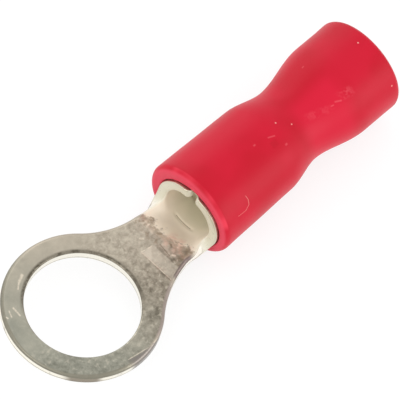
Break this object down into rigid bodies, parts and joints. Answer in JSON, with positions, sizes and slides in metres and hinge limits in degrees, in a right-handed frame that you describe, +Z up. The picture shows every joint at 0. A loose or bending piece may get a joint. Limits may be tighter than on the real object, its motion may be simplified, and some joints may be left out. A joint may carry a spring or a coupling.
{
  "type": "insulated ring terminal",
  "caption": "Insulated ring terminal: a flat stud ring on a necked tongue, a rolled wire barrel, and a red sleeve with a waist and a flared wire entry.",
  "frame": {"origin": "centre of the stud hole on the ring's underside", "axes": "+Z up along the stud hole, +X from the ring along the barrel to the wire entry"},
  "size_m": [0.0218, 0.0074, 0.0048],
  "materials": {
    "tinned_copper": "satin",
    "red_pvc": "satin"
  },
  "bodies": {
    "root": {"copper_terminal": "tinned_copper", "insulating_sleeve": "red_pvc"}
  },
  "joints": []
}
